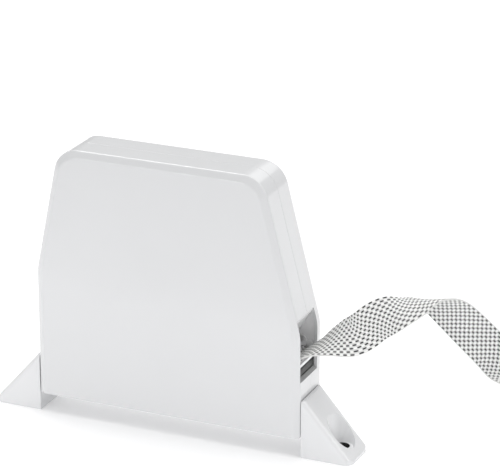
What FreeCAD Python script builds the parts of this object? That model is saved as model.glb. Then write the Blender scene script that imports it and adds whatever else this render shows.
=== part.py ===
"""Surface-mounted strap winder: a slim case with a spring-driven belt reel inside.

The case hangs between two wedge-shaped lugs and can swing to either side on their pivot
pins. A woven belt runs off the reel, between two steel rollers and out of the mouth in
the case's right-hand end.

Millimetres. X runs along the case towards the belt mouth, Y from the front face to the
back face, Z up from the mounting plane. The origin is on the mounting plane, midway
between the two screw holes.
"""

import FreeCAD, Part
import math
import os

V = FreeCAD.Vector

# --- case ---------------------------------------------------------------------------
CASE_HALF = 82.5              # end wall to centre
CASE_BOTTOM = 11.5            # clear of the mounting plane, so that the case can swing
CASE_TOP = 165.0
CASE_FRONT = -16.0
CASE_BACK = 16.0
PARTING_Y = 1.0               # where the two shells meet
RIGHT_KNEE_Z = 73.6           # the ends are upright up to here, then lean in
LEFT_KNEE_Z = 89.1
TOP_RIGHT_X = 59.1
TOP_LEFT_X = -67.2
CORNER_R = 16.0               # upper corners
KNEE_R = 30.0
FOOT_R = 1.5                  # lower corners
WALL = 2.0
BACK_WALL = 2.2
BEVEL_FACE = 3.9              # bevel round the front face, measured across the face
BEVEL_DEPTH = 2.6             # and back along the side
FOOT_BEVEL = 0.6              # across the face along the lower edge
BACK_EDGE = 1.2
LIP_WIDTH = 1.2               # tongue of the rear shell inside the front shell
LIP_DEPTH = 2.0
LIP_PLAY = 0.1

# --- case screws, (x, z) of each ------------------------------------------------------
SCREWS = [(-71.0, 24.0), (70.0, 34.5), (-56.0, 152.0), (48.0, 152.0), (67.0, 98.0)]
BOSS_R = 4.6
SCREW_R = 1.5
SCREW_HOLE_R = 1.55
SCREW_HEAD_R = 2.9
SCREW_HEAD = 2.0
SCREW_SOCKET_R = 1.2
RECESS_R = 3.3
RECESS_Y = 13.4
SCREW_END_Y = -7.0

# --- belt ---------------------------------------------------------------------------
BELT_THICK = 1.1
BELT_FRONT = -12.7
BELT_BACK = 10.3
BELT_HALF_WIDTH = 11.5
BELT_STATIONS = 96

# --- mouth in the right-hand end wall -------------------------------------------------
MOUTH_FRONT = CASE_FRONT + BEVEL_DEPTH
MOUTH_BACK = 10.8
MOUTH_LOW = 47.4
MOUTH_HIGH = 82.6
MOUTH_BEVEL = 1.6

# --- reel ---------------------------------------------------------------------------
REEL_X = -10.0
REEL_Z = 88.0
AXLE_R = 4.0
BORE_R = 4.05
AXLE_ENDS = (-15.0, 14.8)
DRUM_R = 31.0
DRUM_INNER_R = 28.5
HUB_R = 7.0
FLANGE_R = 62.0
FRONT_FLANGE_Y = -13.6
REAR_FLANGE_Y = 10.5
REEL_BACK_Y = 11.4
WEB_Y = -11.2
KEY_WIDTH = 6.0
KEY_DEPTH = 1.8
COIL_R = 52.0                 # five metres of belt, wound
ARBOR_R = 8.0
SPRING_R = 8.6                # middle of the strip at its inner end
SPRING_PITCH = 2.3
SPRING_STRIP = 0.6
SPRING_HALF_TURNS = 16
SPRING_YS = (-10.0, 7.5)
COVER_YS = (8.3, 9.8)

# --- guide rollers and their bracket ---------------------------------------------------
ROLLER_R = 2.4
ROLLER_BORE_R = 1.3
ROLLER_PIN_R = 1.25
UPPER_ROLLER = (74.2, 59.7)
LOWER_ROLLER = (78.8, 54.4)
SHEET = 0.8                   # of the bracket
FRONT_CHEEK_Y = -13.7
BACK_CHEEK_Y = 10.6
BRACKET_LEFT = 67.5
BRACKET_RIGHT = 80.2
BRACKET_APRON_Z = 51.8
SHELF = 2.2

# --- lugs and pivots -------------------------------------------------------------------
LUG_INNER = 82.9
LUG_OUTER = 113.5
LUG_HALF_WIDTH = 13.6
LUG_TOP = 34.6
LUG_TOE = 1.6
SLOPE_TOP = (84.4, 35.0)
LUG_CORNER_R = 5.5
LUG_EDGE_R = 3.0
HOLE_X = 102.5
HOLE_R = 3.0
SEAT_R = 4.6                  # round seat for the screw's head
SEAT_FLOOR = 2.0
POCKET_FLOOR = 5.5
POCKET_FLOOR_R = 4.9
POCKET_FLARE = 33.0           # degrees, half angle of the flared pocket
POCKET_LEAN = 20.0            # degrees from upright, outwards, of the pocket's axis
PIVOT_Z = 20.0
PIVOT_R = 3.0
PIVOT_BORE_R = 3.05
PIVOT_ENDS = (77.0, 88.4)
BUSH_R = 5.0
BUSH_FLANGE_R = 6.2
BUSH_FLANGE = 1.2
CLIP_XS = (78.2, 79.0)
CLIP_R = 4.8
CLIP_GROOVE_R = 2.3

# --- the free stretch of belt, from the rollers to its cut end -------------------------
# each row is a point of the route, then the direction from there to the front selvedge
FREE_BELT = [
    ((77.0, -1.2, 57.2), (0.0, -1.0, 0.0)),
    ((85.0, -1.2, 62.8), (0.0, -1.0, 0.0)),
    ((92.5, -3.0, 69.0), (-0.1, -0.9, -0.4)),
    ((104.5, -9.0, 76.5), (0.0, -0.55, -0.6)),
    ((118.0, -16.0, 82.0), (0.45, 0.0, -0.65)),
    ((130.0, -16.0, 94.5), (0.85, 0.0, -0.5)),
    ((141.0, -4.0, 99.5), (0.95, -0.3, -0.2)),
    ((147.5, 11.5, 99.5), (0.85, -0.2, 0.2)),
    ((157.0, 23.5, 89.5), (0.7, 0.0, 0.5)),
    ((172.5, 27.0, 73.5), (0.45, 0.4, 0.85)),
    ((185.0, 29.5, 61.5), (0.45, 0.4, 0.5)),
    ((210.5, 10.5, 45.5), (0.1, 0.7, -0.5)),
    ((222.0, 6.0, 27.0), (0.1, 0.9, -0.35)),
    ((233.0, 5.0, 11.0), (0.1, 1.0, 0.0)),
    ((246.0, 5.0, 1.5), (0.0, 1.0, 0.0)),
    ((262.0, 5.0, 1.0), (0.0, 1.0, 0.0)),
]


def box(low, high):
    return Part.makeBox(high[0] - low[0], high[1] - low[1], high[2] - low[2], V(*low))


def rod_y(centre, radius, y0, y1):
    return Part.makeCylinder(radius, y1 - y0, V(centre[0], y0, centre[1]), V(0, 1, 0))


def ring_y(centre, inner, outer, y0, y1):
    return rod_y(centre, outer, y0, y1).cut(rod_y(centre, inner, y0 - 1, y1 + 1))


def rod_x(radius, x0, x1):
    return Part.makeCylinder(radius, x1 - x0, V(x0, 0, PIVOT_Z), V(1, 0, 0))


def mirrored(shape):
    return shape.mirror(V(0, 0, 0), V(1, 0, 0))


def prism_y(points, y0, y1):
    """The outline through (x, z) points, extruded along Y."""
    corners = [V(x, y0, z) for x, z in points]
    return Part.Face(Part.makePolygon(corners + corners[:1])).extrude(V(0, y1 - y0, 0))


def crossing(first, second):
    """Where two lines, each given as a pair of (x, z) points, cross."""
    (ax, az), (bx, bz) = first
    (cx, cz), (dx, dz) = second
    turn = (bx - ax) * (dz - cz) - (bz - az) * (dx - cx)
    t = ((cx - ax) * (dz - cz) - (cz - az) * (dx - cx)) / turn
    return (ax + (bx - ax) * t, az + (bz - az) * t)


def inset_outline(points, insets):
    """The outline with each side, from a point to the next one, moved inwards."""
    sides = []
    for i, inset in enumerate(insets):
        ax, az = points[i]
        bx, bz = points[(i + 1) % len(points)]
        length = math.hypot(bx - ax, bz - az)
        dx = -(bz - az) / length * inset
        dz = (bx - ax) / length * inset
        sides.append(((ax + dx, az + dz), (bx + dx, bz + dz)))
    return [crossing(sides[i - 1], sides[i]) for i in range(len(points))]


def rounded_wire(points, radii, y):
    """Closed wire through (x, z) points in the plane at y, with an arc at each."""
    corners = [V(x, y, z) for x, z in points]
    arcs = []
    for i, corner in enumerate(corners):
        back = (corners[i - 1] - corner).normalize()
        ahead = (corners[(i + 1) % len(corners)] - corner).normalize()
        half = back.getAngle(ahead) / 2
        reach = radii[i] / math.tan(half)
        sag = radii[i] / math.sin(half) - radii[i]
        middle = corner + (back + ahead).normalize() * sag
        arcs.append((corner + back * reach, middle, corner + ahead * reach))
    edges = []
    for i, (start, middle, end) in enumerate(arcs):
        edges.append(Part.Arc(start, middle, end).toShape())
        edges.append(Part.LineSegment(end, arcs[(i + 1) % len(arcs)][0]).toShape())
    return Part.Wire(edges)


def case_wire(y, inset, foot_inset):
    """The case's outline at y, moved in all round, and along its foot by foot_inset."""
    corners = [
        (-CASE_HALF, CASE_BOTTOM),
        (CASE_HALF, CASE_BOTTOM),
        (CASE_HALF, RIGHT_KNEE_Z),
        (TOP_RIGHT_X, CASE_TOP),
        (TOP_LEFT_X, CASE_TOP),
        (-CASE_HALF, LEFT_KNEE_Z),
    ]
    points = inset_outline(corners, [foot_inset] + [inset] * 5)
    radii = [FOOT_R, FOOT_R, KNEE_R, CORNER_R, CORNER_R, KNEE_R]
    return rounded_wire(points, [max(r - inset, 0.5) for r in radii], y)


def case_prism(inset, y0, y1):
    return Part.Face(case_wire(y0, inset, inset)).extrude(V(0, y1 - y0, 0))


def openings_cutter():
    """What both shells lose: the mouth, its bevelled sill and the pivot holes."""
    mouth = box((CASE_HALF - 8, MOUTH_FRONT, MOUTH_LOW), (CASE_HALF + 5, MOUTH_BACK, MOUTH_HIGH))
    sill = prism_y(
        [
            (CASE_HALF - WALL, MOUTH_LOW),
            (CASE_HALF + 0.1, MOUTH_LOW - MOUTH_BEVEL),
            (CASE_HALF + 0.1, MOUTH_LOW),
        ],
        MOUTH_FRONT,
        MOUTH_BACK,
    )
    cutter = mouth.fuse(sill).fuse(rod_x(BUSH_R, -CASE_HALF - 1, CASE_HALF + 1))
    room = rod_x(BUSH_FLANGE_R + 0.2, CASE_HALF - WALL - 4, CASE_HALF - WALL)
    return cutter.fuse(room).fuse(mirrored(room))


def make_front_shell():
    bevel_y = CASE_FRONT + BEVEL_DEPTH
    face_wire = case_wire(CASE_FRONT, BEVEL_FACE, FOOT_BEVEL)
    shell = Part.makeLoft([face_wire, case_wire(bevel_y, 0, 0)], True, True)
    shell = shell.fuse(case_prism(0, bevel_y, PARTING_Y))
    inner_face = CASE_FRONT + WALL
    shell = shell.cut(case_prism(WALL + 1.4, inner_face, PARTING_Y + 1))
    shell = shell.cut(case_prism(WALL, inner_face + 1.4, PARTING_Y + 1))
    bracket_room = box((BRACKET_LEFT - 1, inner_face, MOUTH_LOW), (CASE_HALF - WALL, 0, 66))
    shell = shell.cut(bracket_room)
    shelf = box((68, inner_face - 0.5, MOUTH_LOW - SHELF), (81, PARTING_Y - 2.2, MOUTH_LOW))
    shell = shell.fuse(shelf)
    for centre in SCREWS:
        shell = shell.fuse(rod_y(centre, BOSS_R, inner_face - 0.5, PARTING_Y))
        shell = shell.cut(rod_y(centre, SCREW_HOLE_R, SCREW_END_Y, PARTING_Y + 1))
    shell = shell.cut(rod_y((REEL_X, REEL_Z), AXLE_R, AXLE_ENDS[0], inner_face + 1))
    return shell.cut(openings_cutter()).removeSplitter()


def make_rear_shell():
    inner_face = CASE_BACK - BACK_WALL
    edge_y = CASE_BACK - BACK_EDGE
    edge_wires = [case_wire(edge_y, 0, 0), case_wire(CASE_BACK, BACK_EDGE, BACK_EDGE)]
    shell = case_prism(0, PARTING_Y, edge_y).fuse(Part.makeLoft(edge_wires, True, True))
    shell = shell.cut(case_prism(WALL, PARTING_Y - 1, inner_face))
    lip = case_prism(WALL + LIP_PLAY, PARTING_Y - LIP_DEPTH, PARTING_Y)
    lip = lip.fuse(case_prism(WALL, PARTING_Y, PARTING_Y + LIP_DEPTH))
    lip = lip.cut(case_prism(WALL + LIP_WIDTH, PARTING_Y - 3, PARTING_Y + 3))
    shelf = box((68, PARTING_Y, MOUTH_LOW - SHELF), (81, inner_face + 0.5, MOUTH_LOW))
    shell = shell.fuse(lip).fuse(shelf)
    for centre in SCREWS:
        shell = shell.fuse(rod_y(centre, BOSS_R, PARTING_Y, inner_face + 0.5))
        shell = shell.cut(rod_y(centre, SCREW_HOLE_R, PARTING_Y - 3, CASE_BACK + 1))
        shell = shell.cut(rod_y(centre, RECESS_R, RECESS_Y, CASE_BACK + 1))
    shell = shell.fuse(rod_y((REEL_X, REEL_Z), HUB_R + 1, 12.2, inner_face + 0.5))
    shell = shell.cut(rod_y((REEL_X, REEL_Z), AXLE_R, 11, AXLE_ENDS[1]))
    return shell.cut(openings_cutter()).removeSplitter()


def make_case_screws():
    screws = []
    for centre in SCREWS:
        head_end = RECESS_Y + SCREW_HEAD
        shank = rod_y(centre, SCREW_R, SCREW_END_Y + 0.3, RECESS_Y)
        screw = shank.fuse(rod_y(centre, SCREW_HEAD_R, RECESS_Y, head_end))
        screws.append(screw.cut(rod_y(centre, SCREW_SOCKET_R, head_end - 1.2, head_end + 1)))
    return Part.makeCompound(screws)


def make_lug():
    """The right-hand lug: a wedge with a rounded pocket let into its slope."""
    run = LUG_OUTER - SLOPE_TOP[0]
    drop = SLOPE_TOP[1] - LUG_TOE
    down = V(run, 0, -drop).normalize()
    out = V(drop, 0, run).normalize()
    top = V(SLOPE_TOP[0], 0, SLOPE_TOP[1])

    plan = box((LUG_INNER, -LUG_HALF_WIDTH, 0), (LUG_OUTER, LUG_HALF_WIDTH, LUG_TOP))
    outer_edges = []
    for edge in plan.Edges:
        ends = [vertex.Point for vertex in edge.Vertexes]
        upright = abs(ends[0].z - ends[1].z) > 1
        if upright and ends[0].x > LUG_INNER + 1:
            outer_edges.append(edge)
    plan = plan.makeFillet(LUG_CORNER_R, outer_edges)

    bar = box((-30, -LUG_HALF_WIDTH, -60), (80, LUG_HALF_WIDTH, 0))
    long_edges = []
    for edge in bar.Edges:
        ends = [vertex.Point for vertex in edge.Vertexes]
        if abs(ends[0].x - ends[1].x) > 1 and ends[0].z > -1:
            long_edges.append(edge)
    bar = bar.makeFillet(LUG_EDGE_R, long_edges)
    turn = FreeCAD.Rotation(down, V(0, 1, 0), out, "XZY")
    bar.Placement = FreeCAD.Placement(top, turn)
    lug = plan.common(bar)

    lug = lug.cut(make_pocket())
    lug = lug.cut(Part.makeCylinder(HOLE_R, 20, V(HOLE_X, 0, -5)))
    lug = lug.cut(Part.makeCylinder(SEAT_R, 10, V(HOLE_X, 0, SEAT_FLOOR)))
    return lug.cut(rod_x(PIVOT_BORE_R, LUG_INNER - 1, PIVOT_ENDS[1] + 0.1)).removeSplitter()


def make_pocket():
    """Room for the screw: a flared scoop, leaning outwards, with a flat floor."""
    lean = math.radians(POCKET_LEAN)
    axis = V(math.sin(lean), 0, math.cos(lean))
    widening = math.tan(math.radians(POCKET_FLARE))
    below = 3.0
    height = 45.0
    narrow = POCKET_FLOOR_R - below * widening
    wide = narrow + height * widening
    foot = V(HOLE_X, 0, POCKET_FLOOR) - axis * below
    flare = Part.makeCone(narrow, wide, height, foot, axis)
    above = box((60, -40, POCKET_FLOOR), (150, 40, 80))
    return flare.common(above)


def make_pivot_pin():
    groove = rod_x(PIVOT_R + 1, CLIP_XS[0] - 0.05, CLIP_XS[1] + 0.05)
    groove = groove.cut(rod_x(CLIP_GROOVE_R, CLIP_XS[0] - 1, CLIP_XS[1] + 1))
    return rod_x(PIVOT_R, *PIVOT_ENDS).cut(groove)


def make_pivot_bush():
    inner_end = CASE_HALF - WALL - BUSH_FLANGE
    bush = rod_x(BUSH_R, inner_end, CASE_HALF)
    bush = bush.fuse(rod_x(BUSH_FLANGE_R, inner_end, CASE_HALF - WALL))
    return bush.cut(rod_x(PIVOT_BORE_R, inner_end - 1, CASE_HALF + 1))


def make_pivot_clip():
    """E-shaped retaining clip, pushed onto the pin's groove from below."""
    clip = rod_x(CLIP_R, *CLIP_XS).cut(rod_x(CLIP_GROOVE_R, CLIP_XS[0] - 1, CLIP_XS[1] + 1))
    slot = box((CLIP_XS[0] - 1, -1.9, PIVOT_Z - 6), (CLIP_XS[1] + 1, 1.9, PIVOT_Z))
    return clip.cut(slot)


def make_reel_drum():
    centre = (REEL_X, REEL_Z)
    drum = ring_y(centre, DRUM_INNER_R, DRUM_R, BELT_FRONT, REEL_BACK_Y)
    drum = drum.fuse(ring_y(centre, BORE_R, DRUM_R, BELT_FRONT, WEB_Y))
    drum = drum.fuse(ring_y(centre, BORE_R, HUB_R, BELT_FRONT, SPRING_YS[0] - 0.6))
    drum = drum.fuse(ring_y(centre, DRUM_INNER_R, FLANGE_R, REAR_FLANGE_Y, REEL_BACK_Y))
    return drum.cut(make_belt_key()).removeSplitter()


def make_belt_key():
    """Wedge that holds the belt's inner end in a slot across the drum."""
    low = (REEL_X - KEY_WIDTH / 2, WEB_Y + 0.7, REEL_Z + DRUM_R - KEY_DEPTH)
    high = (REEL_X + KEY_WIDTH / 2, BELT_BACK - 1.5, REEL_Z + DRUM_R + 2)
    return box(low, high).common(rod_y((REEL_X, REEL_Z), DRUM_R, -20, 20))


def make_reel_front_flange():
    return ring_y((REEL_X, REEL_Z), 24, FLANGE_R, FRONT_FLANGE_Y, BELT_FRONT)


def make_wound_belt():
    return ring_y((REEL_X, REEL_Z), DRUM_R, COIL_R, BELT_FRONT, BELT_BACK)


def make_reel_axle():
    return rod_y((REEL_X, REEL_Z), AXLE_R, *AXLE_ENDS)


def make_thrust_washers():
    front = ring_y((REEL_X, REEL_Z), BORE_R, 7.5, -13.9, -12.9)
    rear = ring_y((REEL_X, REEL_Z), BORE_R, 7.5, 11.6, 12.1)
    return Part.makeCompound([front, rear])


def make_spring_arbor():
    return ring_y((REEL_X, REEL_Z), AXLE_R, ARBOR_R, SPRING_YS[0] - 0.3, SPRING_YS[1] + 0.5)


def make_spring_cover():
    centre = (REEL_X, REEL_Z)
    cover = ring_y(centre, BORE_R, DRUM_INNER_R, *COVER_YS)
    return cover.fuse(ring_y(centre, BORE_R, HUB_R, COVER_YS[1], REEL_BACK_Y)).removeSplitter()


def make_drive_spring():
    """Flat spiral of half turns, each one half a pitch wider than the last."""
    outlines = {1: [], -1: []}
    radius = SPRING_R
    start_x = REEL_X + SPRING_R
    way = -1
    ends = []
    for _ in range(SPRING_HALF_TURNS):
        centre_x = start_x + way * radius
        for side in outlines:
            r = radius + side * SPRING_STRIP / 2
            first = V(centre_x - way * r, SPRING_YS[0], REEL_Z)
            middle = V(centre_x, SPRING_YS[0], REEL_Z - way * r)
            last = V(centre_x + way * r, SPRING_YS[0], REEL_Z)
            outlines[side].append(Part.Arc(first, middle, last).toShape())
            ends.append((first, last))
        start_x = centre_x + way * radius
        radius += SPRING_PITCH / 2
        way = -way
    caps = [
        Part.LineSegment(ends[0][0], ends[1][0]).toShape(),
        Part.LineSegment(ends[-2][1], ends[-1][1]).toShape(),
    ]
    wire = Part.Wire(Part.__sortEdges__(outlines[1] + outlines[-1] + caps))
    return Part.Face(wire).extrude(V(0, SPRING_YS[1] - SPRING_YS[0], 0))


def make_roller(centre):
    return ring_y(centre, ROLLER_BORE_R, ROLLER_R, BELT_FRONT - 0.1, BELT_BACK + 0.2)


def make_roller_pin(centre):
    return rod_y(centre, ROLLER_PIN_R, FRONT_CHEEK_Y - 0.2, BACK_CHEEK_Y + SHEET + 0.3)


def make_roller_bracket():
    """Bent sheet: a floor, a short apron under the lower roller and two cheeks."""
    cheek = [
        (BRACKET_LEFT, MOUTH_LOW),
        (BRACKET_RIGHT, MOUTH_LOW),
        (BRACKET_RIGHT, 61.4),
        (78.4, 62.0),
        (76.3, 61.9),
        (74.5, 64.4),
        (70.0, 64.4),
        (BRACKET_LEFT, 61.0),
    ]
    radii = [0.4, 0.4, 0.9, 0.5, 1.0, 1.5, 2.0, 2.0]
    back = BACK_CHEEK_Y + SHEET
    bracket = box((BRACKET_LEFT + 0.5, FRONT_CHEEK_Y, MOUTH_LOW),
                  (BRACKET_RIGHT - 0.5, back, MOUTH_LOW + SHEET))
    bracket = bracket.fuse(box((BRACKET_RIGHT - SHEET, FRONT_CHEEK_Y, MOUTH_LOW + 0.4),
                               (BRACKET_RIGHT, back, BRACKET_APRON_Z)))
    for y in (FRONT_CHEEK_Y, BACK_CHEEK_Y):
        bracket = bracket.fuse(Part.Face(rounded_wire(cheek, radii, y)).extrude(V(0, SHEET, 0)))
    for centre in (UPPER_ROLLER, LOWER_ROLLER):
        bracket = bracket.cut(rod_y(centre, ROLLER_PIN_R, FRONT_CHEEK_Y - 1, back + 1))
    return bracket.removeSplitter()


def make_belt_guide():
    """Liner behind the mouth: a curved roof over the belt and a wall along its back."""
    y0 = MOUTH_FRONT + 0.1
    y1 = MOUTH_BACK - 0.1
    lower = Part.Arc(V(79.9, y0, 81.4), V(74.6, y0, 73.6), V(70.2, y0, 65.4)).toShape()
    upper = Part.Arc(V(68.8, y0, 66.1), V(73.3, y0, 74.5), V(78.8, y0, 82.4)).toShape()
    tips = [
        Part.LineSegment(V(70.2, y0, 65.4), V(68.8, y0, 66.1)).toShape(),
        Part.LineSegment(V(78.8, y0, 82.4), V(79.9, y0, 81.4)).toShape(),
    ]
    section = Part.Face(Part.Wire([lower, tips[0], upper, tips[1]]))
    roof = section.extrude(V(0, y1 - y0, 0))
    bridge = section.extrude(V(0, 12.0 - y0, 0)).common(box((60, y1 - 1, 60), (77.6, 12.0, 90)))
    wall = prism_y(
        [(66.0, 47.6), (80.2, 47.6), (80.2, 73.0), (77.9, 82.2), (76.0, 82.2), (66.0, 66.5)],
        11.8,
        13.4,
    )
    return roof.fuse(bridge).fuse(wall).removeSplitter()


def free_belt_wire():
    """Straight runs between the points of the route, joined by tangent arcs."""
    points = [V(*point) for point, _ in FREE_BELT]
    edges = []
    radii = []
    start = points[0]
    for before, corner, after in zip(points, points[1:], points[2:]):
        back = (before - corner).normalize()
        ahead = (after - corner).normalize()
        half_turn = (math.pi - back.getAngle(ahead)) / 2
        reach = 0.45 * min(before.distanceToPoint(corner), after.distanceToPoint(corner))
        radius = reach / math.tan(half_turn)
        sag = radius / math.cos(half_turn) - radius
        arc_start = corner + back * reach
        middle = corner + (back + ahead).normalize() * sag
        edges.append(Part.LineSegment(start, arc_start).toShape())
        edges.append(Part.Arc(arc_start, middle, corner + ahead * reach).toShape())
        radii.append(radius)
        start = corner + ahead * reach
    edges.append(Part.LineSegment(start, points[-1]).toShape())
    return Part.Wire(edges), radii


def selvedge_direction(share):
    """Towards the front selvedge, at a share of the way along the route."""
    steps = [V(*b[0]).distanceToPoint(V(*a[0])) for a, b in zip(FREE_BELT, FREE_BELT[1:])]
    way = share * sum(steps)
    for i, step in enumerate(steps):
        if way <= step or i == len(steps) - 1:
            part = min(way / step, 1.0)
            return V(*FREE_BELT[i][1]) * (1 - part) + V(*FREE_BELT[i + 1][1]) * part
        way -= step


def make_free_belt():
    wire, radii = free_belt_wire()
    points = wire.discretize(Number=BELT_STATIONS)
    sections = []
    for i, point in enumerate(points):
        tangent = (points[min(i + 1, len(points) - 1)] - points[max(i - 1, 0)]).normalize()
        across = selvedge_direction(i / (len(points) - 1))
        across = (across - tangent * across.dot(tangent)).normalize() * BELT_HALF_WIDTH
        through = tangent.cross(across).normalize() * (BELT_THICK / 2)
        corners = [
            point + across + through,
            point - across + through,
            point - across - through,
            point + across - through,
        ]
        sections.append(Part.makePolygon(corners + corners[:1]))
    belt = Part.makeLoft(sections, True, True)
    expected = 2 * BELT_HALF_WIDTH * BELT_THICK * wire.Length
    print("free_belt length %.1f, radii %s" % (wire.Length, [round(r, 1) for r in radii]))
    print("free_belt volume %.0f, section x length %.0f" % (belt.Volume, expected))
    return belt


def make_belt_inner_run():
    """From the coil's underside to the rollers, ending square to the free belt."""
    nip = V(FREE_BELT[0][0][0], 0, FREE_BELT[0][0][2])
    onwards = V(FREE_BELT[1][0][0], 0, FREE_BELT[1][0][2]) - nip
    reel = V(REEL_X, 0, REEL_Z)
    reach = COIL_R + 0.3 + BELT_THICK / 2
    slant = math.atan2(nip.z - reel.z, nip.x - reel.x)
    angle = slant - math.acos(reach / reel.distanceToPoint(nip))
    radial = V(math.cos(angle), 0, math.sin(angle))
    square = V(-onwards.z, 0, onwards.x).normalize() * (BELT_THICK / 2)
    start = reel + radial * reach
    corners = [start - radial * (BELT_THICK / 2), start + radial * (BELT_THICK / 2)]
    corners += [nip - square, nip + square]
    return prism_y([(p.x, p.z) for p in corners], BELT_FRONT, BELT_BACK)


def main():
    lug = make_lug()
    pin = make_pivot_pin()
    bush = make_pivot_bush()
    clip = make_pivot_clip()
    nodes = {
        "front_shell": make_front_shell(),
        "rear_shell": make_rear_shell(),
        "case_screws": make_case_screws(),
        "right_lug": lug,
        "left_lug": mirrored(lug),
        "right_pivot_pin": pin,
        "left_pivot_pin": mirrored(pin),
        "right_pivot_bush": bush,
        "left_pivot_bush": mirrored(bush),
        "right_pivot_clip": clip,
        "left_pivot_clip": mirrored(clip),
        "reel_drum": make_reel_drum(),
        "reel_front_flange": make_reel_front_flange(),
        "belt_key": make_belt_key(),
        "wound_belt": make_wound_belt(),
        "reel_axle": make_reel_axle(),
        "thrust_washers": make_thrust_washers(),
        "spring_arbor": make_spring_arbor(),
        "drive_spring": make_drive_spring(),
        "spring_cover": make_spring_cover(),
        "upper_roller": make_roller(UPPER_ROLLER),
        "lower_roller": make_roller(LOWER_ROLLER),
        "upper_roller_pin": make_roller_pin(UPPER_ROLLER),
        "lower_roller_pin": make_roller_pin(LOWER_ROLLER),
        "roller_bracket": make_roller_bracket(),
        "belt_guide": make_belt_guide(),
        "belt_inner_run": make_belt_inner_run(),
        "free_belt": make_free_belt(),
    }
    os.makedirs("parts", exist_ok=True)
    for name, shape in nodes.items():
        print(name, len(shape.Solids), shape.isValid(), round(shape.Volume))
        shape.exportStep("parts/%s.step" % name)


main()
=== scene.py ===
"""Looks of the roller-shutter strap winder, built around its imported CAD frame.

Metres, in the frame of the CAD part. Small shape dimensions are written in millimetres
and scaled with MM.
"""

import math

import bmesh
import bpy
import numpy as np
from mathutils import Matrix, Vector


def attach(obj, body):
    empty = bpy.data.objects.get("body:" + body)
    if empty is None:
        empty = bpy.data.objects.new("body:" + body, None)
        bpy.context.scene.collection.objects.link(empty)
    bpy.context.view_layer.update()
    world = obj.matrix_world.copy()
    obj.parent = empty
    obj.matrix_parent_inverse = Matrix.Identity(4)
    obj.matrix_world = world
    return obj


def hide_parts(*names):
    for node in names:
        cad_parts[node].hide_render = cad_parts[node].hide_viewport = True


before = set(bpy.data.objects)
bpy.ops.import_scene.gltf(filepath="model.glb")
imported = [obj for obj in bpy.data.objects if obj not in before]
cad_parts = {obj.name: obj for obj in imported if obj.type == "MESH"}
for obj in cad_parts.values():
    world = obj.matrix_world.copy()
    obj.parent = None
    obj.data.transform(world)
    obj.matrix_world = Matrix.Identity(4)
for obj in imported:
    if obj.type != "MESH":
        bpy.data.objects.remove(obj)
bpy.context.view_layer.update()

MM = 0.001

# --- case, millimetres -------------------------------------------------------------
CASE_HALF = 82.5
CASE_BOTTOM = 11.5
CASE_TOP = 165.0
CASE_FRONT = -16.0
CASE_BACK = 16.0
PARTING_Y = 1.0
RIGHT_KNEE_Z = 73.6
LEFT_KNEE_Z = 89.1
TOP_RIGHT_X = 59.1
TOP_LEFT_X = -67.2
CORNER_R = 16.0
KNEE_R = 30.0
FOOT_R = 1.5
WALL = 2.0
BACK_INNER_Y = 13.8
BEVEL_FACE = 3.9
BEVEL_DEPTH = 2.6
FACE_EDGE_R = 3.2
SIDE_EDGE_R = 1.3
BACK_EDGE_R = 1.2
SEAM = 0.22
MOUTH_FRONT = -13.4
MOUTH_BACK = 10.8
MOUTH_LOW = 47.4
MOUTH_HIGH = 82.6
SILL_DROP = 1.6
SCREWS = [(-71.0, 24.0), (70.0, 34.5), (-56.0, 152.0), (48.0, 152.0), (67.0, 98.0)]
BOSS_R = 4.6
BOSS_BORE_R = 1.55
RECESS_R = 3.3
RECESS_Y = 13.4
PIVOT_Z = 20.0
PIVOT_HOLE_R = 5.0

# --- lugs, millimetres ----------------------------------------------------------------
SEAT_X = 102.5
# SEAT_SHADE_R and SEAT_SHADE_TOP bound the painted shade in the fixing screw's seat
SEAT_SHADE_R = 4.75
SEAT_SHADE_TOP = 5.45

# --- case screws, millimetres ------------------------------------------------------------
# half a section through the domed head, from its crown to the neck: radius, then y
SCREW_HEAD = [(0.0, 15.35), (1.2, 15.30), (2.2, 15.1), (2.75, 14.7), (2.88, 14.3), (2.88, 13.42),
              (1.5, 13.4)]
SCREW_CORE_R = 1.2
SCREW_THREAD_R = 1.48
THREAD_TOP = 13.0
THREAD_PITCH = 0.98
THREADS = 20
SCREW_TIP = [(0.6, -6.4), (0.0, -6.7)]
SCREW_SIDES = 24
CROSS_SIZE = (3.0, 2.2, 0.62)
CROSS_Y = 15.2
CROSS_TURN = 20.0

# --- reel, millimetres ---------------------------------------------------------------
REEL_X = -10.0
REEL_Z = 88.0
DRUM_R = 31.0
COIL_R = 52.0
BELT_MIDDLE_Y = -1.2
COIL_STEPS = 96               # straight pieces in each turn of the coil
# painted shade: the bracket's apron is coloured near black from about 5 mm above APRON_FOOT_Z downwards
APRON_FOOT_Z = 50.5           # the height at which the bracket's apron starts to darken

# --- belt ---------------------------------------------------------------------------
BELT_WIDTH = 23.0
BELT_THICK = 1.1
CROSS_RADIUS = 38.0           # the belt's own cupping, across its width
CUP_START = 0.13              # the four CUP values are shares of the free stretch's length
CUP_RISE = 0.17
CUP_END = 0.86
CUP_FALL = 0.16
COLUMN_PITCH = 1.75
COLUMNS = 13
PICK_PITCH = 3.4
# ROUTE, in metres, and TO_SELVEDGE were found by a fit to the strap's outline and rounded
ROUTE = [
    (0.0770, -0.0012, 0.0572),
    (0.0850, -0.0012, 0.0628),
    (0.0925, -0.0015, 0.0675),
    (0.1025, -0.0020, 0.0725),
    (0.1130, -0.0015, 0.0760),
    (0.1235, 0.0000, 0.0870),
    (0.1375, 0.0030, 0.0935),
    (0.1470, 0.0135, 0.0985),
    (0.1570, 0.0235, 0.0895),
    (0.1725, 0.0270, 0.0735),
    (0.1850, 0.0295, 0.0610),
    (0.2100, 0.0105, 0.0455),
    (0.2220, 0.0060, 0.0270),
    (0.2330, 0.0050, 0.0110),
    (0.2460, 0.0050, 0.0015),
    (0.2620, 0.0050, 0.0010),
]
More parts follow.
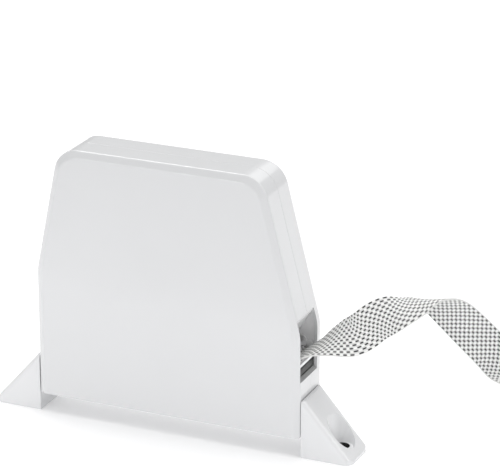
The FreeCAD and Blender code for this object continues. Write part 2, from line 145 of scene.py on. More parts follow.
# from the route to the belt's front selvedge, at each of its points
TO_SELVEDGE = [
    (0.0, -1.0, 0.0),
    (-0.05, -0.95, -0.05),
    (0.05, -0.75, -0.25),
    (0.15, -0.45, -0.4),
    (0.4, -0.05, -0.55),
    (0.6, -0.05, -0.3),
    (0.7, -0.35, -0.05),
    (0.7, -0.2, 0.15),
    (0.55, 0.05, 0.4),
    (0.4, 0.35, 0.55),
    (0.2, 0.2, 0.3),
    (0.05, 0.5, -0.25),
    (0.1, 0.9, -0.35),
    (0.1, 1.0, 0.0),
    (0.0, 1.0, 0.0),
    (0.0, 1.0, 0.0),
]


# --- camera, light and floor ----------------------------------------------------------


def add_camera():
    camera = bpy.data.cameras.new("camera")
    camera.sensor_fit = "HORIZONTAL"
    camera.sensor_width = 36.0
    camera.lens = 196.4
    camera.clip_end = 20.0
    obj = bpy.data.objects.new("camera", camera)
    obj.location = (0.6188, -1.3087, 0.6624)
    obj.rotation_euler = (math.radians(69.35), 0.0, math.radians(23.65))
    bpy.context.scene.collection.objects.link(obj)
    bpy.context.scene.camera = obj


def add_area(name, size, location, target, watts):
    light = bpy.data.lights.new(name, "AREA")
    light.shape = "RECTANGLE"
    light.size, light.size_y = size
    light.energy = watts
    obj = bpy.data.objects.new(name, light)
    obj.location = location
    obj.rotation_euler = (Vector(target) - Vector(location)).to_track_quat("-Z", "Y").to_euler()
    bpy.context.scene.collection.objects.link(obj)
    return obj


def add_studio():
    scene = bpy.context.scene
    scene.view_settings.view_transform = "Standard"
    scene.view_settings.look = "None"
    world = bpy.data.worlds.new("studio")
    scene.world = world
    world.use_nodes = True
    world.node_tree.nodes["Background"].inputs["Color"].default_value = (1.0, 1.0, 1.0, 1.0)
    world.node_tree.nodes["Background"].inputs["Strength"].default_value = 0.50
    add_area("top_box", (2.4, 2.4), (-0.1, 0.6, 1.4), (0.0, 0.3, 0.0), 17.0)
    add_area("right_box", (0.5, 0.7), (1.0, -0.15, 0.75), (0.05, 0.0, 0.06), 2.8)
    add_area("front_strip", (0.9, 0.24), (-0.58, -1.38, 0.40), (0.0, 0.0, 0.16), 2.0)
    add_area("crest_strip", (1.6, 0.10), (-0.55, 0.17, 1.35), (0.0, 0.0, 0.16), 3.2)
    add_area("camera_box", (0.25, 0.25), (0.55, -1.40, 0.80), (0.06, 0.0, 0.05), 0.2)
    low_strip = add_area("low_strip", (0.5, 0.05), (0.0, -0.21, 0.035), (0.0, 0.0, 0.05), 0.09)
    low_strip.visible_glossy = False

    mesh = bpy.data.meshes.new("floor")
    mesh.from_pydata([(-4, -4, 0), (4, -4, 0), (4, 4, 0), (-4, 4, 0)], [], [(0, 1, 2, 3)])
    floor = bpy.data.objects.new("floor", mesh)
    scene.collection.objects.link(floor)
    material, nodes, links = new_material("floor_paper")
    shader = nodes["Principled BSDF"]
    shader.inputs["Base Color"].default_value = (0.93, 0.93, 0.935, 1.0)
    shader.inputs["Roughness"].default_value = 0.9
    shader.inputs["Specular IOR Level"].default_value = 0.1
    shader.inputs["Emission Color"].default_value = (1.0, 1.0, 1.0, 1.0)
    shader.inputs["Emission Strength"].default_value = 0.18
    mesh.materials.append(material)


# --- small helpers ----------------------------------------------------------------------


def new_material(name):
    material = bpy.data.materials.new(name)
    material.use_nodes = True
    return material, material.node_tree.nodes, material.node_tree.links


def new_object(name, bm, material, smooth=True):
    mesh = bpy.data.meshes.new(name)
    bm.normal_update()
    bm.to_mesh(mesh)
    bm.free()
    for polygon in mesh.polygons:
        polygon.use_smooth = smooth
    obj = bpy.data.objects.new(name, mesh)
    bpy.context.scene.collection.objects.link(obj)
    if material is not None:
        mesh.materials.append(material)
    return obj


def math_node(nodes, links, operation, first, second=None, clamp=False):
    node = nodes.new("ShaderNodeMath")
    node.operation = operation
    node.use_clamp = clamp
    for socket, value in zip(node.inputs, (first, second)):
        if value is None:
            continue
        if isinstance(value, (int, float)):
            socket.default_value = value
        else:
            links.new(value, socket)
    return node.outputs[0]


def noise_node(nodes, links, vector, scale, detail=3.0, roughness=0.5):
    node = nodes.new("ShaderNodeTexNoise")
    node.inputs["Scale"].default_value = scale
    node.inputs["Detail"].default_value = detail
    node.inputs["Roughness"].default_value = roughness
    links.new(vector, node.inputs["Vector"])
    return node.outputs["Fac"]


def ramp_node(nodes, links, factor, stops):
    node = nodes.new("ShaderNodeValToRGB")
    ramp = node.color_ramp
    while len(ramp.elements) < len(stops):
        ramp.elements.new(0.5)
    for element, (position, value) in zip(ramp.elements, stops):
        element.position = position
        colour = (value, value, value) if isinstance(value, (int, float)) else value
        element.color = (*colour, 1.0)
    links.new(factor, node.inputs["Fac"])
    return node.outputs["Color"]


def bump_node(nodes, links, height, distance, strength=1.0, normal=None):
    node = nodes.new("ShaderNodeBump")
    node.inputs["Strength"].default_value = strength
    node.inputs["Distance"].default_value = distance
    links.new(height, node.inputs["Height"])
    if normal is not None:
        links.new(normal, node.inputs["Normal"])
    return node.outputs["Normal"]


# --- materials ----------------------------------------------------------------------------


def moulded_plastic(name, colour, roughness=0.45, grain=1.0, tint=0.02, coat=0.0):
    """The slow swell of a moulded wall, a faint drift of colour and slightly uneven gloss."""
    material, nodes, links = new_material(name)
    shader = nodes["Principled BSDF"]
    where = nodes.new("ShaderNodeTexCoord").outputs["Object"]
    drift = noise_node(nodes, links, where, 14.0, 2.0)
    dark = tuple(c * (1.0 - tint) for c in colour)
    links.new(ramp_node(nodes, links, drift, [(0.3, dark), (0.7, colour)]),
              shader.inputs["Base Color"])
    gloss = noise_node(nodes, links, where, 90.0, 3.0)
    links.new(ramp_node(nodes, links, gloss, [(0.3, roughness - 0.04), (0.7, roughness + 0.05)]),
              shader.inputs["Roughness"])
    swell = noise_node(nodes, links, where, 60.0, 1.0, 0.4)
    links.new(bump_node(nodes, links, swell, 0.00002, grain), shader.inputs["Normal"])
    shader.inputs["IOR"].default_value = 1.49
    shader.inputs["Coat Weight"].default_value = coat
    shader.inputs["Coat Roughness"].default_value = 0.10
    return material


def lug_moulding(name):
    """The lugs' white moulding, with painted shade down in the seat of the fixing screw."""
    material = moulded_plastic(name, (0.76, 0.765, 0.775), roughness=0.20, grain=0.4, coat=0.6)
    nodes, links = material.node_tree.nodes, material.node_tree.links
    shader = nodes["Principled BSDF"]
    split = nodes.new("ShaderNodeSeparateXYZ")
    links.new(nodes.new("ShaderNodeTexCoord").outputs["Object"], split.inputs[0])

    def op(operation, first, second=None):
        return math_node(nodes, links, operation, first, second)

    aside = op("SUBTRACT", op("ABSOLUTE", split.outputs["X"]), SEAT_X * MM)
    ahead = split.outputs["Y"]
    reach = op("SQRT", op("ADD", op("POWER", aside, 2.0), op("MULTIPLY", ahead, ahead)))
    low = op("LESS_THAN", split.outputs["Z"], SEAT_SHADE_TOP * MM)
    inside = op("MULTIPLY", low, op("LESS_THAN", reach, SEAT_SHADE_R * MM))
    # painted shade: inside the seat, below SEAT_SHADE_TOP, the colour is multiplied down to 0.06
    tint = ramp_node(nodes, links, inside, [(0.0, 1.0), (1.0, 0.06)])
    mix = nodes.new("ShaderNodeMix")
    mix.data_type = "RGBA"
    mix.blend_type = "MULTIPLY"
    mix.inputs["Factor"].default_value = 1.0
    links.new(shader.inputs["Base Color"].links[0].from_socket, mix.inputs[6])
    links.new(tint, mix.inputs[7])
    links.new(mix.outputs[2], shader.inputs["Base Color"])
    return material


def steel(name, colour, roughness, grain_axis, scratch=0.00002):
    """Rolled or turned steel: fine lines across grain_axis, and a mottled sheen."""
    material, nodes, links = new_material(name)
    shader = nodes["Principled BSDF"]
    shader.inputs["Metallic"].default_value = 1.0
    where = nodes.new("ShaderNodeTexCoord").outputs["Object"]
    stretch = nodes.new("ShaderNodeMapping")
    stretch.inputs["Scale"].default_value = tuple(40.0 if a == grain_axis else 2600.0 for a in "XYZ")
    links.new(where, stretch.inputs["Vector"])
    lines = noise_node(nodes, links, stretch.outputs["Vector"], 1.0, 3.0)
    mottle = noise_node(nodes, links, where, 260.0, 3.0)
    dark = tuple(c * 0.82 for c in colour)
    links.new(ramp_node(nodes, links, mottle, [(0.3, dark), (0.75, colour)]),
              shader.inputs["Base Color"])
    links.new(ramp_node(nodes, links, lines, [(0.2, roughness * 0.7), (0.8, roughness * 1.3)]),
              shader.inputs["Roughness"])
    links.new(bump_node(nodes, links, lines, scratch, 0.6), shader.inputs["Normal"])
    return material


def bracket_sheet(name):
    """Satin zinc sheet, with painted shade that colours the apron below the rollers near black."""
    material, nodes, links = new_material(name)
    shader = nodes["Principled BSDF"]
    shader.inputs["Metallic"].default_value = 0.55
    where = nodes.new("ShaderNodeTexCoord").outputs["Object"]
    split = nodes.new("ShaderNodeSeparateXYZ")
    links.new(where, split.inputs[0])
    mottle = noise_node(nodes, links, where, 420.0, 3.0)
    above = math_node(nodes, links, "SUBTRACT", split.outputs["Z"], APRON_FOOT_Z * MM)
    height = math_node(nodes, links, "MULTIPLY", above, 140.0)
    cloud = math_node(nodes, links, "MULTIPLY", mottle, 0.12)
    shade = math_node(nodes, links, "ADD", height, cloud, clamp=True)
    # painted shade: near black on the apron, light zinc above it
    shade_tones = [(0.0, 0.10), (0.55, 0.02), (0.72, 0.03), (0.84, 0.85)]
    links.new(ramp_node(nodes, links, shade, shade_tones), shader.inputs["Base Color"])
    links.new(ramp_node(nodes, links, mottle, [(0.3, 0.42), (0.7, 0.58)]), shader.inputs["Roughness"])
    links.new(bump_node(nodes, links, mottle, 0.00003, 0.4), shader.inputs["Normal"])
    return material


def webbing(name):
    """White woven strap with columns of near-black dashes, drawn on its weave map."""
    material, nodes, links = new_material(name)
    shader = nodes["Principled BSDF"]
    uv = nodes.new("ShaderNodeUVMap")
    uv.uv_map = "weave"
    split = nodes.new("ShaderNodeSeparateXYZ")
    links.new(uv.outputs["UV"], split.inputs[0])

    def op(operation, first, second=None, clamp=False):
        return math_node(nodes, links, operation, first, second, clamp)

    across = op("MULTIPLY", split.outputs["X"], 1000.0)
    along = op("MULTIPLY", split.outputs["Y"], 1000.0)
    column = op("DIVIDE", op("ADD", across, COLUMNS * COLUMN_PITCH / 2), COLUMN_PITCH)
    number = op("FLOOR", column)
    side = op("MULTIPLY", op("SUBTRACT", op("FRACT", column), 0.5), COLUMN_PITCH)
    odd = op("MODULO", number, 2.0)
    cycle = op("FRACT", op("ADD", op("DIVIDE", along, PICK_PITCH), op("MULTIPLY", odd, 0.5)))

    def blob(middle, half_length, half_width):
        ahead = op("DIVIDE", op("MULTIPLY", op("SUBTRACT", cycle, middle), PICK_PITCH), half_length)
        aside = op("DIVIDE", side, half_width)
        lengthwise = op("POWER", op("ABSOLUTE", ahead), 2.6)
        crosswise = op("POWER", op("ABSOLUTE", aside), 2.6)
        reach = op("ADD", lengthwise, crosswise)
        return op("MULTIPLY", op("SUBTRACT", 1.25, reach), 2.5, clamp=True)

    inside = op("LESS_THAN", op("ABSOLUTE", across), COLUMNS * COLUMN_PITCH / 2 - 0.2)
    dash = op("MULTIPLY", blob(0.25, 0.98, 0.40), inside)
    float_ = op("MULTIPLY", blob(0.75, 0.95, 0.55), inside)

    yarn_scale = nodes.new("ShaderNodeMapping")
    yarn_scale.inputs["Scale"].default_value = (9000.0, 1500.0, 1.0)
    links.new(uv.outputs["UV"], yarn_scale.inputs["Vector"])
    yarn = noise_node(nodes, links, yarn_scale.outputs["Vector"], 1.0, 2.0)
    ground = ramp_node(nodes, links, yarn, [(0.25, (0.60, 0.60, 0.59)), (0.75, (0.76, 0.76, 0.75))])
    white = ramp_node(nodes, links, yarn, [(0.25, (0.84, 0.84, 0.83)), (0.75, (0.93, 0.93, 0.92))])
    black = ramp_node(nodes, links, yarn, [(0.25, (0.004, 0.004, 0.004)), (0.75, (0.022, 0.022, 0.024))])

    def mix(factor, first, second):
        node = nodes.new("ShaderNodeMix")
        node.data_type = "RGBA"
        links.new(factor, node.inputs["Factor"])
        links.new(first, node.inputs[6])
        links.new(second, node.inputs[7])
        return node.outputs[2]

    colour = mix(dash, mix(float_, ground, white), black)
    links.new(colour, shader.inputs["Base Color"])
    shader.inputs["Roughness"].default_value = 0.85
    shader.inputs["Sheen Weight"].default_value = 0.12
    shader.inputs["Specular IOR Level"].default_value = 0.25
    height = op("ADD", op("MULTIPLY", yarn, 0.5), op("ADD", float_, op("MULTIPLY", dash, 0.4)))
    links.new(bump_node(nodes, links, height, 0.00006, 0.8), shader.inputs["Normal"])
    return material


# --- belt ------------------------------------------------------------------------------------


def nurbs_points(control, resolution=32):
    """Points along the smooth NURBS line that has these control points."""
    curve = bpy.data.curves.new("route", "CURVE")
    curve.dimensions = "3D"
    curve.resolution_u = resolution
    spline = curve.splines.new("NURBS")
    spline.points.add(len(control) - 1)
    for point, place in zip(spline.points, control):
        point.co = (*place, 1.0)
    spline.order_u = 3
    spline.use_endpoint_u = True
    obj = bpy.data.objects.new("route", curve)
    bpy.context.scene.collection.objects.link(obj)
    mesh = bpy.data.meshes.new_from_object(obj)
    points = np.array([v.co for v in mesh.vertices], float)
    bpy.data.objects.remove(obj)
    bpy.data.meshes.remove(mesh)
    return points


def weave_height(across, along):
    """Relief of the weave, millimetres above the belt's mean face."""
    column = (across + COLUMNS * COLUMN_PITCH / 2) / COLUMN_PITCH
    number = math.floor(column)
    if number < 0 or number >= COLUMNS:
        return 0.02
    side = math.cos((column - number - 0.5) * math.pi)
    cycle = along / PICK_PITCH + 0.5 * (number % 2)
    swell = 0.5 - 0.5 * math.sin(2 * math.pi * cycle)
    return side * (0.05 + 0.09 * swell) - 0.03


def belt_columns():
    """Places across the belt, millimetres from its middle, densest on the yarns."""
    places = []
    for i in range(COLUMNS):
        middle = (i - (COLUMNS - 1) / 2) * COLUMN_PITCH
        places += [middle + f * COLUMN_PITCH for f in (-0.5, -0.25, 0.0, 0.25)]
    places.append(COLUMNS * COLUMN_PITCH / 2)
    return [p for p in places if abs(p) < BELT_WIDTH / 2 - 0.3]


def ribbon(name, centres, widths, cups, material, relief=True):
    """Closed strip along centres: widths point to its front selvedge, cups bow it."""
    places = belt_columns() if relief else [-9.0, -4.5, 0.0, 4.5, 9.0]
    half = BELT_WIDTH / 2
    thick = BELT_THICK / 2
    section = [(a, 1) for a in places] + [(half - 0.22, 0.8), (half, 0.0), (half - 0.22, -0.8)]
    section += [(a, -1) for a in reversed(places)]
    section += [(-half + 0.22, -0.8), (-half, 0.0), (-half + 0.22, 0.8)]
    steps = np.linalg.norm(np.diff(centres, axis=0), axis=1)
    along = np.concatenate([[0.0], np.cumsum(steps)])
    tangents = np.gradient(centres, axis=0)
    bm = bmesh.new()
    uv_layer = bm.loops.layers.uv.new("weave")
    rings = []
    for i, centre in enumerate(centres):
        tangent = tangents[i] / np.linalg.norm(tangents[i])
        width = widths[i] - tangent * np.dot(widths[i], tangent)
        width = width / np.linalg.norm(width)
        normal = np.cross(tangent, width)
        ring = []
        for a, face in section:
            bend = cups[i] / CROSS_RADIUS
            angle = bend * a
            if bend > 1e-6:
                aside, rise = math.sin(angle) / bend, (1 - math.cos(angle)) / bend
            else:
                aside, rise = a, 0.0
            lift = face * thick
            if relief and abs(face) == 1:
                lift += face * weave_height(a * face, along[i] / MM)
            outward = -width * math.sin(angle) + normal * math.cos(angle)
            place = centre + (width * aside + normal * rise + outward * lift) * MM
            ring.append(bm.verts.new(place))
        rings.append(ring)
    count = len(section)
    for i in range(len(rings) - 1):
        for j in range(count):
            k = (j + 1) % count
            face = bm.faces.new([rings[i][j], rings[i][k], rings[i + 1][k], rings[i + 1][j]])
            for loop, (n, m) in zip(face.loops, [(j, i), (k, i), (k, i + 1), (j, i + 1)]):
                loop[uv_layer].uv = (section[n][0] * MM, along[m])
    bm.faces.new(rings[0][::-1])
    bm.faces.new(rings[-1])
    bmesh.ops.recalc_face_normals(bm, faces=bm.faces)
    return new_object(name, bm, material)


def declare_strap_piece(piece, body, node):
    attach(piece, body)
    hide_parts(node)


def add_wound_belt(material):
    """The belt on its reel: one spiral strip, each turn lying on the last."""
    inner = DRUM_R + BELT_THICK / 2 + 0.06
    outer = COIL_R - BELT_THICK / 2 - 0.08
    turns = int((outer - inner) / (BELT_THICK + 0.03))
    count = turns * COIL_STEPS
    centres = []
    for i in range(count + 1):
        angle = 2 * math.pi * i / COIL_STEPS
        radius = inner + (outer - inner) * i / count
        x = REEL_X + radius * math.cos(angle)
        z = REEL_Z + radius * math.sin(angle)
        centres.append((x, BELT_MIDDLE_Y, z))
    centres = np.array(centres) * MM
    widths = np.tile((0.0, -1.0, 0.0), (len(centres), 1))
    coil = ribbon("wound_strap", centres, widths, np.zeros(len(centres)), material, relief=False)
    declare_strap_piece(coil, "reel", "wound_belt")


def add_inner_run(material):
    """The straight stretch between the coil's underside and the rollers."""
    nip = Vector((ROUTE[0][0], ROUTE[0][2])) / MM
    reel = Vector((REEL_X, REEL_Z))
    reach = COIL_R + 0.3 + BELT_THICK / 2
    towards = nip - reel
    angle = math.atan2(towards.y, towards.x) - math.acos(reach / towards.length)
    start = reel + Vector((math.cos(angle), math.sin(angle))) * reach
    places = [start.lerp(nip, i / 60) for i in range(61)]
    centres = np.array([(p.x, BELT_MIDDLE_Y, p.y) for p in places]) * MM
    widths = np.tile((0.0, -1.0, 0.0), (len(centres), 1))
    strip = ribbon("inner_strap", centres, widths, np.zeros(len(centres)), material)
    declare_strap_piece(strip, "case", "belt_inner_run")


def add_free_belt(material):
    route = np.array(ROUTE)
    aside = np.array(TO_SELVEDGE)
    centres = nurbs_points([tuple(p) for p in route])
    edges = nurbs_points([tuple(p) for p in route + aside * BELT_WIDTH / 2 * MM])
    widths = edges - centres
    share = np.linspace(0.0, 1.0, len(centres))
    rise = np.clip((share - CUP_START) / CUP_RISE, 0.0, 1.0)
    fall = np.clip((CUP_END - share) / CUP_FALL, 0.0, 1.0)
    cups = rise * fall
    belt = ribbon("strap", centres, widths, cups, material)
    declare_strap_piece(belt, "case", "free_belt")


# --- case shells -----------------------------------------------------------------------------


def crossing(first, second):
    """Where two lines, each a pair of (x, z) points, cross."""
    (ax, az), (bx, bz) = first
    (cx, cz), (dx, dz) = second
    turn = (bx - ax) * (dz - cz) - (bz - az) * (dx - cx)
    t = ((cx - ax) * (dz - cz) - (cz - az) * (dx - cx)) / turn
    return (ax + (bx - ax) * t, az + (bz - az) * t)


def case_outline(inset, foot_inset):
    """The case's outline in XZ, anticlockwise from the front, moved in from its sides.

    Returns the points, and the numbers of the two that lie on the mouth's lower and
    upper edges.
    """
    corners = [
        (-CASE_HALF, CASE_BOTTOM, FOOT_R, 4),
        (CASE_HALF, CASE_BOTTOM, FOOT_R, 4),
        (CASE_HALF, RIGHT_KNEE_Z, KNEE_R, 8),
        (TOP_RIGHT_X, CASE_TOP, CORNER_R, 16),
        (TOP_LEFT_X, CASE_TOP, CORNER_R, 16),
        (-CASE_HALF, LEFT_KNEE_Z, KNEE_R, 8),
    ]
    sides = []
    for i, (ax, az, _, _) in enumerate(corners):
        bx, bz = corners[(i + 1) % len(corners)][:2]
        depth = foot_inset if i == 0 else inset
        length = math.hypot(bx - ax, bz - az)
        dx, dz = -(bz - az) / length * depth, (bx - ax) / length * depth
        sides.append(((ax + dx, az + dz), (bx + dx, bz + dz)))
    points = []
    mouth = []
    for i, (_, _, radius, steps) in enumerate(corners):
        if i == 2:
            mouth.append(len(points))
            points.append(level_point(sides[1], MOUTH_LOW))
        if i == 3:
            mouth.append(len(points))
            points.append(level_point(sides[2], MOUTH_HIGH))
        corner = Vector(crossing(sides[i - 1], sides[i]))
        points += corner_arc(corner, sides[i - 1], sides[i], max(radius - inset, 0.5), steps)
    return points, mouth


def level_point(side, z):
    (ax, az), (bx, bz) = side
    return (ax + (bx - ax) * (z - az) / (bz - az), z)


def corner_arc(corner, before, after, radius, steps):
    back = (Vector(before[0]) - Vector(before[1])).normalized()
    ahead = (Vector(after[1]) - Vector(after[0])).normalized()
    half = back.angle(ahead) / 2
    centre = corner + (back + ahead).normalized() * radius / math.sin(half)
    first = corner + back * radius / math.tan(half) - centre
    turn = math.pi - 2 * half
    points = []
    for i in range(steps + 1):
        angle = turn * i / steps
        c, s = math.cos(angle), math.sin(angle)
        points.append((centre.x + first.x * c - first.y * s, centre.y + first.x * s + first.y * c))
    return points


def rounded_profile(points, radii, steps=5):
    """An open profile of (inset, y) points with its inner corners rounded."""
    result = [points[0]]
    for i in range(1, len(points) - 1):
        corner = Vector(points[i])
        back = (Vector(points[i - 1]) - corner).normalized()
        ahead = (Vector(points[i + 1]) - corner).normalized()
        half = back.angle(ahead) / 2
        centre = corner + (back + ahead).normalized() * radii[i - 1] / math.sin(half)
        first = corner + back * radii[i - 1] / math.tan(half) - centre
        last = corner + ahead * radii[i - 1] / math.tan(half) - centre
        for k in range(steps + 1):
            place = centre + first.slerp(last, k / steps) * radii[i - 1]
            result.append((place.x, place.y))
    return result + [points[-1]]


def shell_mesh(profile, outer_mouth, inner_mouth):
    """A dished shell swept round the case's outline, with the mouth left out.

    profile runs from the middle of the outer face, over the rim and back inside.
    outer_mouth and inner_mouth are the numbers of its points at the mouth's upright edge.
    """
    bm = bmesh.new()
    rings = []
    for inset, y in profile:
        points, mouth = case_outline(inset, inset * (0.15 if y < PARTING_Y - 5 and inset != WALL else 1.0))
        ring = []
        for number, (x, z) in enumerate(points):
            if number == mouth[0] and inset < 1.0 and outer_mouth <= len(rings) <= inner_mouth:
                z -= SILL_DROP
            ring.append(bm.verts.new(Vector((x, y, z)) * MM))
        rings.append(ring)
    count = len(rings[0])
    low, high = mouth
    for i in range(len(rings) - 1):
        for j in range(count):
            if outer_mouth <= i < inner_mouth and low <= j < high:
                continue
            k = (j + 1) % count
            bm.faces.new([rings[i][j], rings[i][k], rings[i + 1][k], rings[i + 1][j]])
    for j in range(low, high):
        bm.faces.new([rings[outer_mouth][j], rings[outer_mouth][j + 1],
                      rings[inner_mouth][j + 1], rings[inner_mouth][j]])
    for j in (low, high):
        lip = bm.faces.new([rings[i][j] for i in range(outer_mouth, inner_mouth + 1)])
        # the lower lip takes the second material, the painted sill shade
        lip.material_index = 1 if j == low else 0
    bm.faces.new(rings[0])
    bm.faces.new(rings[-1])
    bmesh.ops.recalc_face_normals(bm, faces=bm.faces)
    return bm


def cylinder_mesh(bm, start, end, radius, segments=48):
    """Adds a closed cylinder from start to end, millimetres."""
    start, end = Vector(start), Vector(end)
    turn = (end - start).to_track_quat("Z", "Y").to_matrix().to_4x4()
    place = Matrix.Translation((start + end) / 2 * MM) @ turn
    bmesh.ops.create_cone(bm, cap_ends=True, segments=segments, radius1=radius * MM,
                          radius2=radius * MM, depth=(end - start).length * MM, matrix=place)


def cut(obj, cutter_mesh, overlapping=False):
    """Takes cutter_mesh out of obj's mesh; overlapping lets its parts cross each other."""
    cutter = new_object("cutter", cutter_mesh, None)
    modifier = obj.modifiers.new("cut", "BOOLEAN")
    modifier.solver = "EXACT"
    modifier.operation = "DIFFERENCE"
    modifier.use_self = overlapping
    modifier.object = cutter
    apply_modifiers(obj)
    bpy.data.objects.remove(cutter)


def drill(obj, cylinders):
    """Takes cylinders, each (start, end, radius) in millimetres, out of obj's mesh."""
    bm = bmesh.new()
    for start, end, radius in cylinders:
        cylinder_mesh(bm, start, end, radius)
    cut(obj, bm)


def apply_modifiers(obj):
    bpy.context.view_layer.update()
    graph = bpy.context.evaluated_depsgraph_get()
    mesh = bpy.data.meshes.new_from_object(obj.evaluated_get(graph))
    old = obj.data
    obj.modifiers.clear()
    obj.data = mesh
    bpy.data.meshes.remove(old)


def flatten_normals(obj, sharp=40.0):
    """Smooth shading that keeps flat faces flat and edges over the angle sharp."""
    mesh = obj.data
    bm = bmesh.new()
    bm.from_mesh(mesh)
    for edge in bm.edges:
        edge.smooth = len(edge.link_faces) == 2 and edge.calc_face_angle() < math.radians(sharp)
    for face in bm.faces:
        face.smooth = True
    bm.to_mesh(mesh)
    bm.free()
    modifier = obj.modifiers.new("flat_faces", "WEIGHTED_NORMAL")
    modifier.keep_sharp = True
    modifier.weight = 60


def finish_piece(obj, body, slot, *nodes):
    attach(obj, body)
    if nodes:
        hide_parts(*nodes)


PIVOT_HOLES = [((x, 0, PIVOT_Z), (x + 8, 0, PIVOT_Z), PIVOT_HOLE_R) for x in (-86, 78)]


def add_front_shell(material, sill_shade_material):
    edge = rounded_profile(
        [(9.0, CASE_FRONT), (BEVEL_FACE, CASE_FRONT), (0.0, CASE_FRONT + BEVEL_DEPTH),
         (0.0, PARTING_Y - SEAM)],
        [FACE_EDGE_R, SIDE_EDGE_R],
    )[1:]
    upright = min(range(len(edge)), key=lambda i: abs(edge[i][1] - MOUTH_FRONT))
    mouth_y = edge[upright][1]
    profile = edge + [(SEAM, PARTING_Y), (WALL, PARTING_Y), (WALL, mouth_y), (WALL, CASE_FRONT + WALL)]
    bm = shell_mesh(profile, upright, len(profile) - 2)
    shell = new_object("case_front", bm, material)
    # second slot: the painted shade on the mouth's lower lip
    shell.data.materials.append(sill_shade_material)
    drill(shell, PIVOT_HOLES)
    flatten_normals(shell)
    finish_piece(shell, "case", "case_plastic", "front_shell")


def add_rear_shell(material, sill_shade_material):
    edge = rounded_profile(
        [(9.0, CASE_BACK), (0.0, CASE_BACK), (0.0, PARTING_Y + SEAM)],
        [BACK_EDGE_R],
    )[1:]
    profile = edge[:-1] + [(0.0, MOUTH_BACK), (0.0, PARTING_Y + SEAM), (SEAM, PARTING_Y)]
    upright = len(profile) - 3
    profile += [(WALL, PARTING_Y), (WALL, MOUTH_BACK), (WALL, BACK_INNER_Y)]
    bm = shell_mesh(profile, upright, len(profile) - 2)
    shell = new_object("case_rear", bm, material)
    # second slot: the painted shade on the mouth's lower lip
    shell.data.materials.append(sill_shade_material)
    recesses = [((x, RECESS_Y, z), (x, CASE_BACK + 1, z), RECESS_R) for x, z in SCREWS]
    drill(shell, PIVOT_HOLES + recesses)
    flatten_normals(shell)
    finish_piece(shell, "case", "case_plastic", "rear_shell")


def add_bosses(material):
    """The five hollow posts of the rear shell, each the seat of a case screw."""
    bm = bmesh.new()
    for x, z in SCREWS:
        cylinder_mesh(bm, (x, PARTING_Y, z), (x, RECESS_Y, z), BOSS_R)
    bosses = new_object("screw_bosses", bm, material)
    bores = [((x, PARTING_Y - 1, z), (x, RECESS_Y + 1, z), BOSS_BORE_R) for x, z in SCREWS]
    drill(bosses, bores)
    flatten_normals(bosses)
    finish_piece(bosses, "case", "case_plastic")


def turned_ring(bm, x, z, radius, y):
    """Points round a screw's axis at (x, z), or the one point where it ends."""
    if radius == 0.0:
        return [bm.verts.new(Vector((x, y, z)) * MM)]
    ring = []
    for k in range(SCREW_SIDES):
        angle = 2 * math.pi * k / SCREW_SIDES
        place = Vector((x + radius * math.cos(angle), y, z + radius * math.sin(angle)))
        ring.append(bm.verts.new(place * MM))
    return ring


def add_screws(material):
    """Thread-forming screws: a domed head with a cross recess, and a threaded shank."""
    bm = bmesh.new()
    profile = list(SCREW_HEAD)
    for k in range(THREADS):
        y = THREAD_TOP - k * THREAD_PITCH
        profile += [(SCREW_CORE_R, y), (SCREW_THREAD_R, y - 0.4), (SCREW_CORE_R, y - 0.8)]
    profile += SCREW_TIP
    for x, z in SCREWS:
        rings = [turned_ring(bm, x, z, radius, y) for radius, y in profile]
        for first, second in zip(rings, rings[1:]):
            for k in range(SCREW_SIDES):
                m = (k + 1) % SCREW_SIDES
                corners = [first[k % len(first)], first[m % len(first)],
                           second[m % len(second)], second[k % len(second)]]
                bm.faces.new(list(dict.fromkeys(corners)))
    bmesh.ops.recalc_face_normals(bm, faces=bm.faces)
    screws = new_object("shell_screws", bm, material)
    crosses = bmesh.new()
    size = Matrix.Diagonal((*(c * MM for c in CROSS_SIZE), 1.0))
    for x, z in SCREWS:
        for turn in (0.0, 90.0):
            spin = Matrix.Rotation(math.radians(turn + CROSS_TURN), 4, "Y")
            place = Matrix.Translation(Vector((x, CROSS_Y, z)) * MM) @ spin @ size
            bmesh.ops.create_cube(crosses, size=1.0, matrix=place)
    cut(screws, crosses, overlapping=True)
    flatten_normals(screws, 35.0)
    finish_piece(screws, "case", "screw_steel", "case_screws")


# --- pieces that keep the frame's shape, with worked edges ---------------------------------------


def softened(node, name, width, material, segments=2):
    """A copy of a CAD node with its edges rounded as they come off a tool."""
    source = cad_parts[node]
    bm = bmesh.new()
    bm.from_mesh(source.data)
    bmesh.ops.remove_doubles(bm, verts=bm.verts, dist=0.000002)
    bmesh.ops.dissolve_limit(bm, angle_limit=math.radians(0.6), verts=bm.verts, edges=bm.edges)
    obj = new_object(name, bm, material)
    modifier = obj.modifiers.new("edges", "BEVEL")
    modifier.width = width * MM
    modifier.segments = segments
    modifier.limit_method = "ANGLE"
    modifier.angle_limit = math.radians(32.0)
    modifier.use_clamp_overlap = True
    apply_modifiers(obj)
    flatten_normals(obj, 50.0)
    return obj


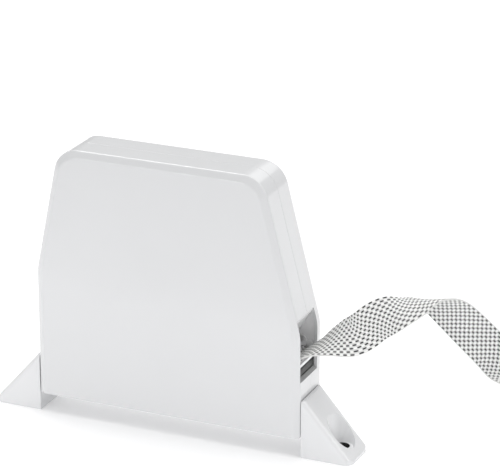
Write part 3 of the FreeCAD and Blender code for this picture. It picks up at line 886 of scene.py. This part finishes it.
def main():
    add_camera()
    belt_material = webbing("woven_strap")
    add_free_belt(belt_material)
    add_wound_belt(belt_material)
    add_inner_run(belt_material)
    add_studio()
    case_plastic = moulded_plastic("case_moulding", (0.69, 0.695, 0.705), roughness=0.19,
                                   grain=0.4, coat=0.9)
    # painted shade: the dark grey on the mouth's lower lip stands in for the shade that falls there
    sill_shade_plastic = moulded_plastic("painted_sill_shade", (0.33, 0.33, 0.335), roughness=0.5)
    lug_plastic = lug_moulding("lug_moulding")
    guide_plastic = moulded_plastic("guide_moulding", (0.86, 0.86, 0.865), roughness=0.35)
    bearing_plastic = moulded_plastic("bearing_moulding", (0.74, 0.73, 0.69), roughness=0.4)
    chrome = steel("roller_chrome", (0.80, 0.80, 0.81), 0.07, "Y", 0.000002)
    sheet_steel = steel("zinc_sheet", (0.48, 0.49, 0.50), 0.32, "X")
    bar_steel = steel("turned_bar", (0.60, 0.61, 0.62), 0.22, "Y", 0.00001)
    screw_steel = steel("screw_zinc", (0.56, 0.56, 0.58), 0.28, "Z", 0.00001)
    blued_steel = steel("spring_blued", (0.16, 0.19, 0.26), 0.3, "Y")
    reel_plastic = moulded_plastic("reel_moulding", (0.10, 0.105, 0.11), roughness=0.5)

    add_front_shell(case_plastic, sill_shade_plastic)
    add_rear_shell(case_plastic, sill_shade_plastic)
    add_bosses(case_plastic)
    add_screws(screw_steel)
    for side in ("right", "left"):
        lug = softened(side + "_lug", side + "_foot", 0.45, lug_plastic, 3)
        finish_piece(lug, "lugs", "lug_plastic", side + "_lug")
    guide = softened("belt_guide", "guide_liner", 0.25, guide_plastic)
    finish_piece(guide, "case", "guide_plastic", "belt_guide")
    bracket = softened("roller_bracket", "bracket", 0.12, bracket_sheet("bracket_sheet"))
    finish_piece(bracket, "case", "steel_sheet", "roller_bracket")
    for which in ("upper", "lower"):
        roller = softened(which + "_roller", which + "_guide_roller", 0.2, chrome)
        finish_piece(roller, which + "_roller", "roller_chrome", which + "_roller")
    by_node = {
        "right_pivot_pin": bar_steel,
        "left_pivot_pin": bar_steel,
        "reel_axle": bar_steel,
        "upper_roller_pin": bar_steel,
        "lower_roller_pin": bar_steel,
        "right_pivot_clip": sheet_steel,
        "left_pivot_clip": sheet_steel,
        "drive_spring": blued_steel,
        "right_pivot_bush": bearing_plastic,
        "left_pivot_bush": bearing_plastic,
        "thrust_washers": bearing_plastic,
        "reel_drum": reel_plastic,
        "reel_front_flange": reel_plastic,
        "belt_key": reel_plastic,
        "spring_cover": reel_plastic,
        "spring_arbor": reel_plastic,
    }
    for node, material in by_node.items():
        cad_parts[node].material_slots[0].material = material


main()
